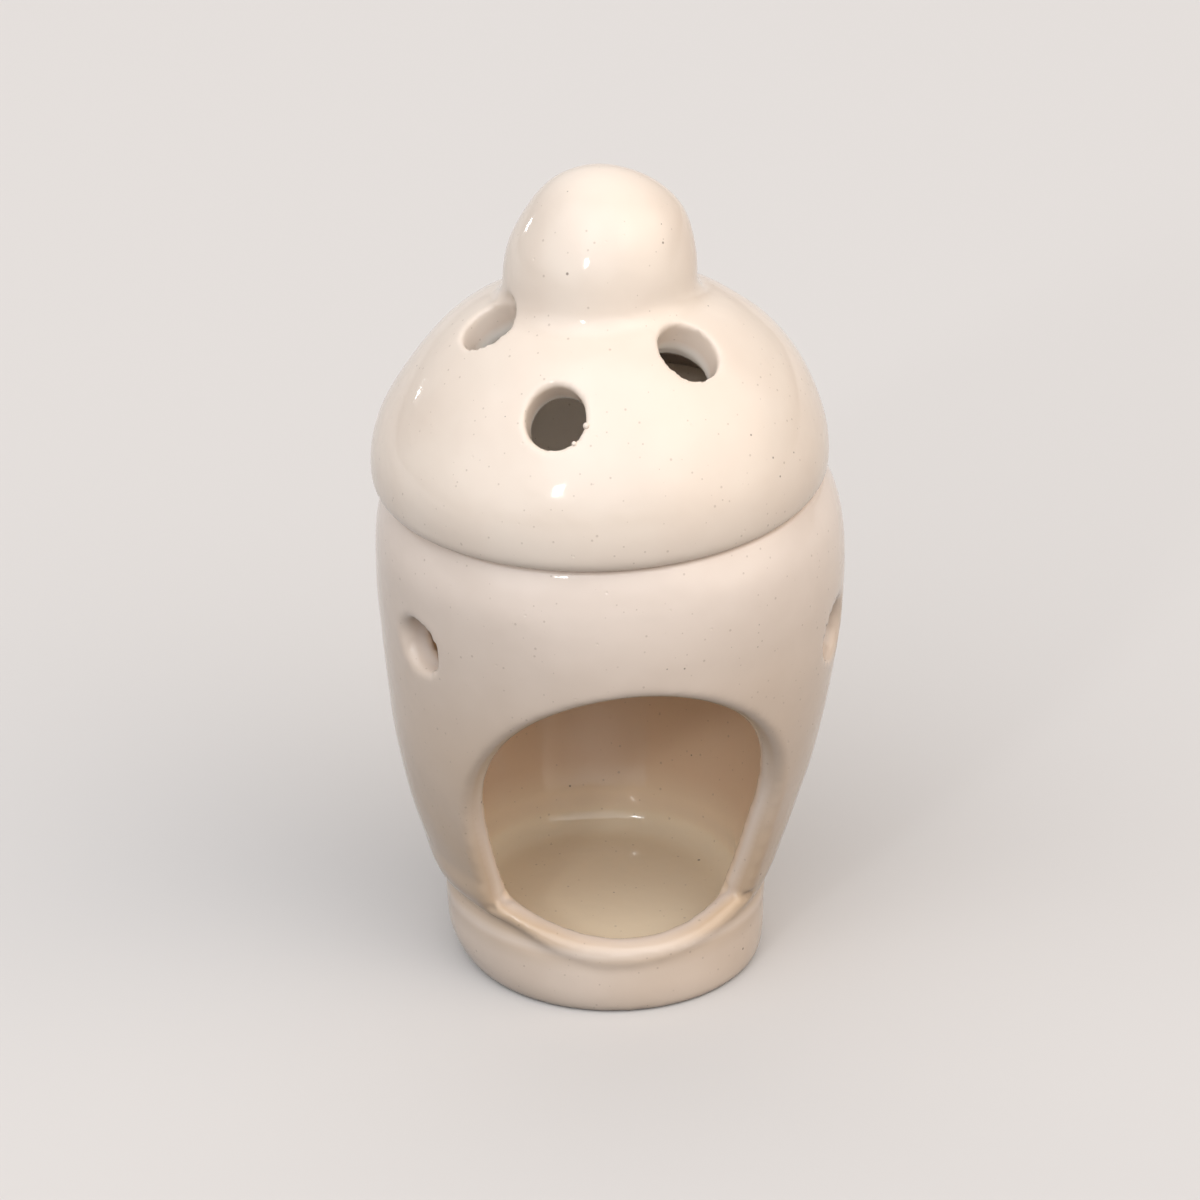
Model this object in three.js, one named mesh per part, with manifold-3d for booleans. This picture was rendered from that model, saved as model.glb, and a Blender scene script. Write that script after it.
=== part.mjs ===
// Lidded ceramic incense burner, thrown and glazed: a footed pot with an arched opening for a tealight,
// a small dish that hangs in the pot's mouth over the flame, and a domed lid pierced to let the smoke out.
// Millimetres, +Z up. The origin is the middle of the foot's underside, and the arch faces -Y.
import * as THREE from "three";
import { mergeVertices } from "three/addons/utils/BufferGeometryUtils.js";
import Module from "manifold-3d";

// Facets round each turned piece and each punched hole, the gap between pieces that rest on each other,
// and the size below which a facet left by a cut is taken up by its neighbours
const TURNED_FACETS = 42;
const HOLE_FACETS = 22;
const RESTING_GAP = 0.3;
const SMALLEST_DETAIL = 0.01;

// Foot: a ring that the pot stands on, turned hollow underneath
const RECESS_RADIUS = 20.4;
const RECESS_DEPTH = 3.2;
const RING_INNER_RADIUS = 21.6;
const RING_OUTER_RADIUS = 26.6;
const RING_ROUNDING = 1;
const FOOT_SIDE_RADIUS = 28.1;
const FOOT_SIDE_HEIGHT = 9;

// Pot wall: it leaves the waist above the foot at a lean, swells to the shoulder and closes in to the lid's
// seat. The swells are how far the curve is pulled along the wall at each end.
const POT_WALL = 5.5;
const WAIST_RADIUS = 28.6;
const WAIST_HEIGHT = 15;
const WALL_LEAN = THREE.MathUtils.degToRad(66.7);
const LOWER_SWELL = 24;
const SHOULDER_SWELL = 9;
const SHOULDER_RADIUS = 41.1;
const SHOULDER_HEIGHT = 76;
const SEAT_HEIGHT = 93;
const SEAT_OUTER_RADIUS = 38;
const SEAT_PULL_OUT = 1.9;
const SEAT_PULL_DOWN = 4.5;

// Collar: it stands inside the lid, keeps it in place and carries the dish
const COLLAR_OUTER_RADIUS = 35.4;
const COLLAR_INNER_RADIUS = 32.4;
const COLLAR_HEIGHT = 3;
const COLLAR_ROUNDING = 0.8;
const THROAT_HEIGHT = 90;
const THROAT_SWELL = 6.5;

// Candle chamber: its flat floor takes a tealight 38 mm across
const FLOOR_HEIGHT = 9.5;
const FLOOR_RADIUS = 19.6;
const FLOOR_FILLET = 4.2;

// Arch cut in the front wall, drawn on the wall unrolled at its mean radius. Its sill sags in the middle and
// ends higher on the left, and the sag's pulls stand at the same reach to both sides.
const UNROLL_RADIUS = 38;
const ARCH_HALF_WIDTH = 32;
const ARCH_SILL_LEFT = 19;
const ARCH_SILL_RIGHT = 16.8;
const ARCH_SAG_REACH = 13;
const ARCH_SAG_LEFT = 12.6;
const ARCH_SAG_RIGHT = 11.6;
const ARCH_SPRING_HEIGHT = 36;
const ARCH_TOP_HEIGHT = 69.3;
const ARCH_HEAD_PULL = 16;
const ARCH_CORNER_RADIUS = 0.9;

// Draught holes through the pot wall, each by its angle from the arch and its height, with how far askew the
// punch was held. Angles are in degrees and run towards the right as one looks at the arch.
const VENT_RADIUS = 4.6;
const VENT_LIP = 1.3;
const POT_VENTS = [
  { angle: -58, height: 71, skew: -12 },
  { angle: 67, height: 67.5, skew: 12 },
  { angle: 180, height: 69.5, skew: 0 },
];

// Rounding of the arch's edges, how many times deeper the sill rolls over outside than the rest, and how far
// a cutter for any opening in the wall reaches past each face of it
const CUT_ROUNDING = 2.6;
const SILL_ROLL = 1.9;
const CUT_REACH = 0.35;

// Lid: a dome with a hollow knob, resting slightly off the pot's axis within the collar's play
const LID_OFFSET = -1;
const LID_RIM_RADIUS = 40.1;
const LID_RIM_FLAT_RADIUS = 38.6;
const LID_RIM_PULL = 1.1;
const DOME_BASE_HEIGHT = 95.5;
const DOME_TOP_RADIUS = 20.2;
const DOME_TOP_HEIGHT = 125.6;
const DOME_TOP_SLOPE = THREE.MathUtils.degToRad(26);
const DOME_SIDE_PULL = 10.3;
const DOME_TOP_PULL = 13;
const HOLLOW_RADIUS = 36.7;
const HOLLOW_RISE = 28.5;
const HOLLOW_ROUNDING = 3;
const KNOB_RADIUS = 17.2;
const KNOB_BASE_HEIGHT = 131;
const KNOB_TOP_HEIGHT = 150;
const KNOB_FILLET_PULL = 2.7;
const KNOB_WALL = 6.5;

// Smoke holes through the dome, each by its angle from the arch in degrees and the height of its middle,
// with how far the punch reaches inwards and outwards from the dome's face, and the steps in which the face
// is followed to find where it goes through
const SMOKE_HOLE_RADIUS = 5.2;
const SMOKE_HOLE_TAPER = 0.3;
const SMOKE_HOLE_LIP = 0.6;
const PUNCH_INWARDS = 14;
const PUNCH_OUTWARDS = 6;
const DOME_SEARCH_STEPS = 120;
const SMOKE_HOLES = [
  { angle: -74.5, height: 125.2 },
  { angle: -22, height: 117.8 },
  { angle: 34, height: 124.2 },
  { angle: 118, height: 119 },
  { angle: -151, height: 121.5 },
];

// Incense dish: a round bowl whose flange rests on the collar
const DISH_FLANGE_RADIUS = 34.4;
const DISH_FLANGE_THICKNESS = 2.2;
const DISH_FLANGE_ROUNDING = 0.8;
const DISH_BOWL_RADIUS = 31.4;
const DISH_WALL = 2.6;
const DISH_DEPTH = 14.5;
const DISH_FLAT_RADIUS = 8;
const DISH_BELLY_PULL = 13;
const DISH_SIDE_PULL = 6;

const at = (radius, height) => new THREE.Vector2(radius, height);

const line = (from, to) => new THREE.LineCurve(from, to);

const bend = (from, pullFrom, pullTo, to) => new THREE.CubicBezierCurve(from, pullFrom, pullTo, to);

// Part of an ellipse whose middle is at a height on the axis, or at a radius from it.
const arc = (radiusX, radiusZ, base, from, to, middle = 0) =>
  new THREE.EllipseCurve(middle, base, radiusX, radiusZ, from, to, to < from);

// Points along a chain of curves, each given with its number of steps.
function trace(...stretches) {
  const points = stretches.flatMap(([curve, steps]) => curve.getPoints(steps));
  return points.filter((point, i) => i === 0 || point.distanceTo(points[i - 1]) > 1e-6);
}

// A closed solid from a geometry: its vertices are merged and its collapsed triangles dropped.
function solidOf(geometry) {
  const bare = new THREE.BufferGeometry().setAttribute("position", geometry.getAttribute("position"));
  bare.setIndex(geometry.index);
  const merged = mergeVertices(bare, 1e-4);
  const corners = Array.from(merged.index.array);
  const kept = [];
  for (let i = 0; i < corners.length; i += 3) {
    const [a, b, c] = corners.slice(i, i + 3);
    if (a !== b && b !== c && c !== a) kept.push(a, b, c);
  }
  const mesh = new wasm.Mesh({
    numProp: 3,
    vertProperties: merged.getAttribute("position").array,
    triVerts: new Uint32Array(kept),
  });
  return new wasm.Manifold(mesh);
}

// The geometry of a finished solid.
function geometryOf(solid) {
  const { vertProperties, triVerts } = solid.simplify(SMALLEST_DETAIL).getMesh();
  const geometry = new THREE.BufferGeometry();
  geometry.setAttribute("position", new THREE.BufferAttribute(vertProperties, 3));
  geometry.setIndex(new THREE.BufferAttribute(triVerts, 1));
  geometry.computeVertexNormals();
  return geometry;
}

// A turned solid from its half section, drawn from the axis out, up the outside and back down to the axis.
function turned(section) {
  const geometry = new THREE.LatheGeometry(section, TURNED_FACETS);
  geometry.rotateX(Math.PI / 2);
  return solidOf(geometry);
}

// The pot's body from waist to shoulder, moved inwards by an inset.
function bodyCurve(inset) {
  const up = at(Math.cos(WALL_LEAN), Math.sin(WALL_LEAN));
  const inwards = at(-up.y, up.x);
  const waist = at(WAIST_RADIUS, WAIST_HEIGHT).addScaledVector(inwards, inset);
  const shoulder = at(SHOULDER_RADIUS - inset, SHOULDER_HEIGHT);
  const lowerPull = waist.clone().addScaledVector(up, LOWER_SWELL);
  return bend(waist, lowerPull, at(shoulder.x, shoulder.y - SHOULDER_SWELL), shoulder);
}

// The outside of the pot, from the edge of its foot ring to the lid's seat.
function potOutside() {
  const ringEdge = at(RING_OUTER_RADIUS, 0);
  const ringPull = at(RING_OUTER_RADIUS + RING_ROUNDING, 0);
  const footSide = at(FOOT_SIDE_RADIUS, FOOT_SIDE_HEIGHT);
  const footPull = at(FOOT_SIDE_RADIUS, FOOT_SIDE_HEIGHT / 2);
  const body = bodyCurve(0);
  const shoulderPull = at(SHOULDER_RADIUS, SHOULDER_HEIGHT + SHOULDER_SWELL);
  const seatPull = at(SEAT_OUTER_RADIUS + SEAT_PULL_OUT, SEAT_HEIGHT - SEAT_PULL_DOWN);
  return trace(
    [bend(ringEdge, ringPull, footPull, footSide), 5],
    [line(footSide, body.v0), 1],
    [body, 9],
    [bend(body.v3, shoulderPull, seatPull, at(SEAT_OUTER_RADIUS, SEAT_HEIGHT)), 6],
  );
}

// The inside of the pot, from the mouth down to the middle of the chamber floor.
function potInside() {
  const body = bodyCurve(POT_WALL);
  const throat = at(COLLAR_INNER_RADIUS, THROAT_HEIGHT);
  const throatPull = at(throat.x, THROAT_HEIGHT - THROAT_SWELL);
  const bodyPull = at(body.v3.x, SHOULDER_HEIGHT + THROAT_SWELL);
  const filletHeight = FLOOR_HEIGHT + FLOOR_FILLET;
  const fillet = arc(FLOOR_FILLET, FLOOR_FILLET, filletHeight, 0, -Math.PI / 2, FLOOR_RADIUS);
  const wallFoot = at(FLOOR_RADIUS + FLOOR_FILLET, filletHeight);
  return [
    ...trace([bend(throat, throatPull, bodyPull, body.v3), 5]),
    ...trace([body, 8]).reverse().slice(1),
    ...trace([line(body.v0, wallFoot), 1], [fillet, 4]).slice(1),
    at(0, FLOOR_HEIGHT),
  ];
}

// The collar, from the lid's seat over to the pot's throat.
function collar() {
  const top = SEAT_HEIGHT + COLLAR_HEIGHT;
  return [
    at(COLLAR_OUTER_RADIUS, SEAT_HEIGHT),
    at(COLLAR_OUTER_RADIUS, top - COLLAR_ROUNDING),
    at(COLLAR_OUTER_RADIUS - COLLAR_ROUNDING, top),
    at(COLLAR_INNER_RADIUS + COLLAR_ROUNDING, top),
    at(COLLAR_INNER_RADIUS, top - COLLAR_ROUNDING),
  ];
}

// Reads a chain of points off as a function: one coordinate where the other reaches a value.
function readOff(points, wanted, known, value) {
  const next = points.findIndex((point) => point[known] > value);
  if (next < 1) return points.at(next)[wanted];
  const [a, b] = [points[next - 1], points[next]];
  return THREE.MathUtils.mapLinear(value, a[known], b[known], a[wanted], b[wanted]);
}

// The arch's sill on the unrolled wall, from left to right.
function sillCurve() {
  const end = ARCH_HALF_WIDTH - ARCH_CORNER_RADIUS;
  return bend(
    at(-end, ARCH_SILL_LEFT),
    at(-ARCH_SAG_REACH, ARCH_SAG_LEFT),
    at(ARCH_SAG_REACH, ARCH_SAG_RIGHT),
    at(end, ARCH_SILL_RIGHT),
  );
}

// A cutter for an opening drawn on the unrolled wall: it follows the wall round, is narrowest in the
// middle of the wall and flares to both faces, so that it leaves rounded edges, then runs on past them.
// What flares outside below the sill is stretched downwards, which leaves the sill as a thick rolled lip. A
// skew swings the cutter round the middle of its opening's outer face.
function openingCutter(outline, rounding, angle = 0, skew = 0) {
  const face = POT_WALL / 2 + CUT_REACH;
  const geometry = new THREE.ExtrudeGeometry(outline, {
    depth: 2 * (face - rounding),
    bevelThickness: rounding,
    bevelSize: -rounding,
    bevelOffset: rounding,
    bevelSegments: 4,
    curveSegments: HOLE_FACETS / 2,
  });
  geometry.translate(0, 0, rounding - face);
  const place = geometry.getAttribute("position");
  const outside = potOutside();
  const sill = sillCurve().getPoints(HOLE_FACETS);
  const turn = THREE.MathUtils.degToRad(angle);
  const sideStep = Math.tan(THREE.MathUtils.degToRad(skew));
  for (let i = 0; i < place.count; i++) {
    const outwards = place.getZ(i);
    const drop = Math.max(0, readOff(sill, "y", "x", place.getX(i)) - place.getY(i));
    const height = place.getY(i) - (outwards > 0 ? drop * (SILL_ROLL - 1) : 0);
    const sideways = place.getX(i) + (outwards - POT_WALL / 2) * sideStep;
    const around = sideways / UNROLL_RADIUS + turn;
    let radius = readOff(outside, "x", "y", height) - POT_WALL / 2 + outwards;
    if (outwards > face - 1e-3) radius = 2 * SHOULDER_RADIUS;
    if (outwards < 1e-3 - face) radius = FLOOR_RADIUS / 4;
    place.setXYZ(i, radius * Math.sin(around), -radius * Math.cos(around), height);
  }
  return solidOf(geometry);
}

// The arch's outline: a sagging sill, upright sides and a flattened round head.
function archOutline() {
  const shape = new THREE.Shape();
  const corner = ARCH_CORNER_RADIUS;
  const spring = ARCH_SPRING_HEIGHT;
  const side = ARCH_HALF_WIDTH;
  const top = ARCH_TOP_HEIGHT;
  const sill = sillCurve();
  shape.moveTo(sill.v0.x, sill.v0.y);
  shape.bezierCurveTo(sill.v1.x, sill.v1.y, sill.v2.x, sill.v2.y, sill.v3.x, sill.v3.y);
  shape.absarc(sill.v3.x, sill.v3.y + corner, corner, -Math.PI / 2, 0, false);
  shape.lineTo(side, spring);
  shape.bezierCurveTo(side, spring + ARCH_HEAD_PULL, ARCH_HEAD_PULL, top, 0, top);
  shape.bezierCurveTo(-ARCH_HEAD_PULL, top, -side, spring + ARCH_HEAD_PULL, -side, spring);
  shape.lineTo(-side, sill.v0.y + corner);
  shape.absarc(sill.v0.x, sill.v0.y + corner, corner, Math.PI, 1.5 * Math.PI, false);
  return shape;
}

function pot() {
  const section = [
    at(0, RECESS_DEPTH),
    at(RECESS_RADIUS, RECESS_DEPTH),
    at(RING_INNER_RADIUS, 0),
    ...potOutside(),
    ...collar(),
    ...potInside(),
  ];
  let solid = turned(section).subtract(openingCutter(archOutline(), CUT_ROUNDING));
  for (const { angle, height, skew } of POT_VENTS) {
    const round = new THREE.Shape().absarc(0, height, VENT_RADIUS, 0, 2 * Math.PI, false);
    solid = solid.subtract(openingCutter(round, VENT_LIP, angle, skew));
  }
  return solid;
}

// The dome's outside, from the lid's rim up to the foot of the knob.
function domeCurve() {
  const side = at(LID_RIM_RADIUS, DOME_BASE_HEIGHT);
  const top = at(DOME_TOP_RADIUS, DOME_TOP_HEIGHT);
  const down = at(Math.cos(DOME_TOP_SLOPE), -Math.sin(DOME_TOP_SLOPE));
  const topPull = top.clone().addScaledVector(down, DOME_TOP_PULL);
  return bend(side, at(side.x, side.y + DOME_SIDE_PULL), topPull, top);
}

// The outside of the lid: rim, dome, and the fillet that carries it up into the knob.
function lidOutside() {
  const dome = domeCurve();
  const rimFlat = at(LID_RIM_FLAT_RADIUS, SEAT_HEIGHT + RESTING_GAP);
  const rimSide = dome.v0;
  const rimPull = at(rimFlat.x + LID_RIM_PULL, rimFlat.y);
  const sidePull = at(rimSide.x, rimSide.y - LID_RIM_PULL);
  const domeTop = dome.v3;
  const domePull = domeTop.clone().addScaledVector(dome.getTangent(1), KNOB_FILLET_PULL);
  const knobSide = at(KNOB_RADIUS, KNOB_BASE_HEIGHT);
  const knobPull = at(knobSide.x, knobSide.y - KNOB_FILLET_PULL);
  const knob = arc(KNOB_RADIUS, KNOB_TOP_HEIGHT - KNOB_BASE_HEIGHT, KNOB_BASE_HEIGHT, 0, Math.PI / 2);
  return trace(
    [bend(rimFlat, rimPull, sidePull, rimSide), 4],
    [dome, 11],
    [bend(domeTop, domePull, knobPull, knobSide), 5],
    [knob, 9],
  );
}

// The inside of the lid, from the knob's hollow down its neck and the dome's inner wall to the rim.
function lidInside() {
  const neckRadius = KNOB_RADIUS - KNOB_WALL;
  const neckRise = KNOB_TOP_HEIGHT - KNOB_BASE_HEIGHT - KNOB_WALL;
  const ceilingEdge = Math.acos((neckRadius + HOLLOW_ROUNDING) / HOLLOW_RADIUS);
  const ceiling = arc(HOLLOW_RADIUS, HOLLOW_RISE, SEAT_HEIGHT + RESTING_GAP, ceilingEdge, 0);
  const ceilingTop = ceiling.getPoint(0);
  const neck = at(neckRadius, ceilingTop.y + HOLLOW_ROUNDING);
  const neckPull = at(neck.x, neck.y - HOLLOW_ROUNDING / 2);
  const ceilingPull = at(ceilingTop.x - HOLLOW_ROUNDING / 2, ceilingTop.y);
  return trace(
    [arc(neckRadius, neckRise, KNOB_BASE_HEIGHT, Math.PI / 2, 0), 6],
    [line(at(neckRadius, KNOB_BASE_HEIGHT), neck), 1],
    [bend(neck, neckPull, ceilingPull, ceilingTop), 4],
    [ceiling, 9],
  );
}

// A punch for one smoke hole, square to the dome where it goes through, with a flare for the hole's lip.
function smokeHolePunch(angle, height) {
  const dome = domeCurve().getPoints(DOME_SEARCH_STEPS);
  const radius = readOff(dome, "x", "y", height);
  const tilt = Math.atan(readOff(dome, "x", "y", height - 1) - radius);
  const lipEdge = SMOKE_HOLE_RADIUS + SMOKE_HOLE_LIP;
  const lip = arc(SMOKE_HOLE_LIP, SMOKE_HOLE_LIP, -SMOKE_HOLE_LIP, Math.PI, Math.PI / 2, lipEdge);
  const section = [
    at(0, -PUNCH_INWARDS),
    at(SMOKE_HOLE_RADIUS - SMOKE_HOLE_TAPER, -PUNCH_INWARDS),
    ...trace([lip, 3]),
    at(lipEdge + SMOKE_HOLE_LIP, PUNCH_OUTWARDS),
    at(0, PUNCH_OUTWARDS),
  ];
  const geometry = new THREE.LatheGeometry(section, HOLE_FACETS);
  geometry.rotateX(Math.PI - tilt);
  geometry.translate(0, -radius, height);
  geometry.rotateZ(THREE.MathUtils.degToRad(angle));
  return solidOf(geometry);
}

function lid() {
  let solid = turned([...lidOutside(), ...lidInside(), at(LID_RIM_FLAT_RADIUS, SEAT_HEIGHT + RESTING_GAP)]);
  for (const { angle, height } of SMOKE_HOLES) {
    solid = solid.subtract(smokeHolePunch(angle, height));
  }
  return solid;
}

// The dish's bowl from its flat bottom out and up its side, moved inwards by an inset.
function bowlCurve(inset, bottom, sideTop) {
  const flat = at(DISH_FLAT_RADIUS, bottom + inset);
  const side = at(DISH_BOWL_RADIUS - inset, sideTop);
  return bend(flat, at(flat.x + DISH_BELLY_PULL, flat.y), at(side.x, side.y - DISH_SIDE_PULL), side);
}

function incenseDish() {
  const underside = SEAT_HEIGHT + COLLAR_HEIGHT + RESTING_GAP;
  const rim = underside + DISH_FLANGE_THICKNESS;
  const bottom = rim - DISH_DEPTH;
  const flange = DISH_FLANGE_RADIUS;
  const rounding = DISH_FLANGE_ROUNDING;
  const inside = bowlCurve(DISH_WALL, bottom, rim - rounding);
  return turned([
    at(0, bottom),
    ...trace([bowlCurve(0, bottom, underside - rounding), 7]),
    at(DISH_BOWL_RADIUS, underside),
    at(flange - rounding, underside),
    at(flange, underside + rounding),
    at(flange, rim - rounding),
    at(flange - rounding, rim),
    at(inside.v3.x + rounding, rim),
    ...trace([inside, 8]).reverse(),
    at(0, bottom + DISH_WALL),
  ]);
}

const wasm = await Module();
wasm.setup();

const potGlaze = new THREE.MeshStandardMaterial({ color: "#e9ddcd", roughness: 0.22, metalness: 0 });
const lidGlaze = new THREE.MeshStandardMaterial({ color: "#efe4d4", roughness: 0.2, metalness: 0 });
const dishGlaze = new THREE.MeshStandardMaterial({ color: "#e6dac8", roughness: 0.24, metalness: 0 });

function piece(name, solid, material) {
  const mesh = new THREE.Mesh(geometryOf(solid), material);
  mesh.name = name;
  return mesh;
}

const burner = new THREE.Group();
const lidMesh = piece("lid", lid(), lidGlaze);
lidMesh.position.x = LID_OFFSET;
burner.add(piece("pot", pot(), potGlaze), piece("incense_dish", incenseDish(), dishGlaze), lidMesh);

export default burner;
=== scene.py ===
import math

import bmesh
import bpy
import numpy as np
from mathutils import Matrix, Vector


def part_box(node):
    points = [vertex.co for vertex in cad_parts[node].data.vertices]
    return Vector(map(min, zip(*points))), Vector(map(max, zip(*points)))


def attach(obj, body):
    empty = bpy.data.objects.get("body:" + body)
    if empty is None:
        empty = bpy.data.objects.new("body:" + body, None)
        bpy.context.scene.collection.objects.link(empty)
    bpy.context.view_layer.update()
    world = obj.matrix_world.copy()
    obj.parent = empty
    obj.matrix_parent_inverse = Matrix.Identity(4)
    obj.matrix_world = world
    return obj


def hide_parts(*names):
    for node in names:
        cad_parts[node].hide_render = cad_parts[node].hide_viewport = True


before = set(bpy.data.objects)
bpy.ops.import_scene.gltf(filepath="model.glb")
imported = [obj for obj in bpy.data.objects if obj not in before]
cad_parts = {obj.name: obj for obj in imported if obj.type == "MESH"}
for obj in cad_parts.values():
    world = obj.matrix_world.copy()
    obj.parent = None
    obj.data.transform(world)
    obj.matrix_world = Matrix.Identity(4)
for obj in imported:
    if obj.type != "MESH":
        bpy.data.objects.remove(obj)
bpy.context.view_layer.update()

# Lengths are in millimetres where no comment says otherwise, and the model is in metres
MM = 0.001

# Facets round a turned piece and round a punch, before the clay is softened
TURNED_FACETS = 220
PUNCH_FACETS = 64

# The circle that a section is turned round, too small to see, and how close points lie that are welded, both
# in metres
WHEEL_RADIUS = 1e-7
WELD_DISTANCE = 1e-6

# How close two points of an outline lie that count as one
SAME_POINT = 1e-6

# How finely each piece is remeshed, how many times its surface is smoothed to round its edges, and how far
# towards its neighbours each point goes each time
POT_GRAIN = 0.76
LID_GRAIN = 0.6
DISH_GRAIN = 0.65
POT_SMOOTHING = 5
LID_SMOOTHING = 5
DISH_SMOOTHING = 4
SMOOTHING_PART = 0.5

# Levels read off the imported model, whose lid is drawn a little above its seat
RESTING_GAP = 0.3
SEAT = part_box("lid")[0].z / MM - RESTING_GAP
COLLAR_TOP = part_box("pot")[1].z / MM
KNOB_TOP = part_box("lid")[1].z / MM
DISH_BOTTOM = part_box("incense_dish")[0].z / MM
DISH_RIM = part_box("incense_dish")[1].z / MM
LID_MIDDLE = (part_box("lid")[0].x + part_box("lid")[1].x) / 2 / MM

# Foot
RECESS_RADIUS = 20.4
RECESS_DEPTH = 3.2
RING_INNER_RADIUS = 21.6
RING_OUTER_RADIUS = 26.6
RING_ROUNDING = 1.0
FOOT_SIDE_RADIUS = 28.1
FOOT_SIDE_HEIGHT = 9.0

# Pot wall
POT_WALL = 5.5
WAIST_RADIUS = 28.6
WAIST_HEIGHT = 15.0
WALL_LEAN = math.radians(66.7)
LOWER_SWELL = 24.0
SHOULDER_SWELL = 9.0
SHOULDER_RADIUS = 41.1
SHOULDER_HEIGHT = 76.0
SEAT_OUTER_RADIUS = 38.0
SEAT_PULL_OUT = 1.9
SEAT_PULL_DOWN = 4.5

# Collar and throat
COLLAR_OUTER_RADIUS = 34.4
COLLAR_INNER_RADIUS = 32.4
COLLAR_ROUNDING = 0.8
THROAT_HEIGHT = 90.0
THROAT_SWELL = 6.5

# Candle chamber
FLOOR_HEIGHT = 9.5
FLOOR_RADIUS = 19.6
FLOOR_FILLET = 4.2

# Arch, drawn on the wall unrolled at its mean radius, with each side by its distance from the middle
UNROLL_RADIUS = 38.0
ARCH_LEFT = 32.0
ARCH_RIGHT = 33.2
ARCH_SPRING = 36.0
ARCH_TOP = 69.3
ARCH_HEAD_PULL = 16.0
ARCH_CORNER = 0.9

# The arch's sill ends higher on the left, and on each side of the middle it is drawn down towards a height
SILL_LEFT = 19.0
SILL_RIGHT = 16.8
SILL_SAG_LEFT = 12.6
SILL_SAG_RIGHT = 11.6
SILL_SAG_REACH = 13.0

# The cut through the wall is flat in the middle and rounds over to both faces, more so outside under the sill
CUT_FLAT = 1.0
CUT_ROUNDING = 2.6
CUT_STEPS = 8
SILL_ROLL = 1.9

# Draught holes, each by its angle from the arch, its height and how far askew the punch was held
VENT_RADIUS = 5.1
VENT_LIP = 0.9
POT_VENTS = ((-61, 71.5, -12), (67, 67.5, 12), (180, 69.5, 0))

# Smoke holes, each by its angle from the arch and its height
SMOKE_HOLE_RADIUS = 5.35
SMOKE_HOLE_LIP = 0.5
SMOKE_HOLE_DEPTH = 7.0
SMOKE_HOLES = ((-74.5, 125.2), (-22, 117.8), (34, 123.5), (118, 119), (-151, 121.5))

# Beads of glaze on the edge of the smoke hole in front, each by the angle round the hole and its size
BEADED_HOLE = 1
BEADS = ((-6, 0.6), (-44, 0.45))

# Lid
LID_RIM_RADIUS = 40.1
LID_RIM_FLAT_RADIUS = 38.6
LID_RIM_PULL = 1.1
DOME_BASE = 95.5
DOME_TOP_RADIUS = 20.2
DOME_TOP = 125.6
DOME_TOP_SLOPE = math.radians(26)
DOME_SIDE_PULL = 10.3
DOME_TOP_PULL = 13.0
HOLLOW_RADIUS = 36.7
HOLLOW_RISE = 28.5
HOLLOW_ROUNDING = 3.0
KNOB_RADIUS = 17.2
KNOB_BASE = 131.0
KNOB_FILLET_PULL = 2.7
KNOB_WALL = 6.5

# Dish
DISH_FLANGE_RADIUS = 34.4
DISH_FLANGE_THICKNESS = 2.2
DISH_FLANGE_ROUNDING = 0.8
DISH_BOWL_RADIUS = 31.4
DISH_WALL = 2.6
DISH_FLAT_RADIUS = 8.0
DISH_BELLY_PULL = 13.0
DISH_SIDE_PULL = 6.0

# No piece was thrown quite true: how far each level stands off the axis, to the right for a lean and to the
# front for a nod, as (height, shift)
STRAIGHT = ((0, 0.0), (1, 0.0))
POT_LEAN = (
    (0, 1.15),
    (5, 0.25),
    (12, 0.0),
    (28, -0.2),
    (48, 0.4),
    (60, 0.9),
    (76, 0.9),
    (87, 0.4),
    (92, 0.0),
)
POT_NOD = ((0, 1.7), (7, 0.7), (18, 0.0))
LID_LEAN = (
    (97, 0.0),
    (104, 0.0),
    (112, 0.5),
    (119, 0.35),
    (127, 0.0),
    (136, 0.3),
    (142, 0.7),
    (150, -0.2),
)
LID_NOD = ((92, 0.0), (118, 0.0), (127, -0.6), (138, -1.5), (150, -2.1))

# How far the throwing drew each level in or out, as (height, change of radius)
POT_DRAW = (
    (0, -0.85),
    (4, -0.3),
    (12, -0.05),
    (32, 0.25),
    (44, 0.4),
    (58, 0.15),
    (78, 0.0),
    (85, 0.15),
    (92, 0.0),
)
LID_DRAW = ((92, -0.6), (101, 0.0), (110, -0.15), (120, -0.3), (128, -0.5), (140, -0.7), (150, -0.6))

# The rim was cut a little out of level, higher on the right, and what rests on it follows
RIM_SLOPE = 0.031
RIM_SLOPE_START = 60.0
RIM_SLOPE_FULL = 85.0

# The knob was luted on a little aslant, so that its foot is higher in front
KNOB_SLOPE = 0.095
KNOB_SLOPE_START = 117.0
KNOB_SLOPE_FULL = 130.0

# Soft lumps left by the fingers, as (count round the piece, height of one wave, depth). They fade out near
# the axis, the table and the lid's seat.
LUMPS = ((2, 160, 0.22), (3, 95, 0.14), (5, 60, 0.09), (4, 38, 0.05), (7, 46, 0.04), (1, 13, 0.035))
LUMP_SEED = 11
LUMP_FADE_RADIUS = 12.0
LUMP_FADE_RISE = 6.0

# The crease where the wall and the sill's roll are pressed on to the foot. It dips in front, over a spread in
# degrees to the left and to the right of an angle from the arch.
CREASE_HEIGHT = 15.2
CREASE_FRONT_HEIGHT = 8.7
CREASE_MIDDLE = -3.0
CREASE_SPREAD_LEFT = 31.0
CREASE_SPREAD_RIGHT = 50.0

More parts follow.
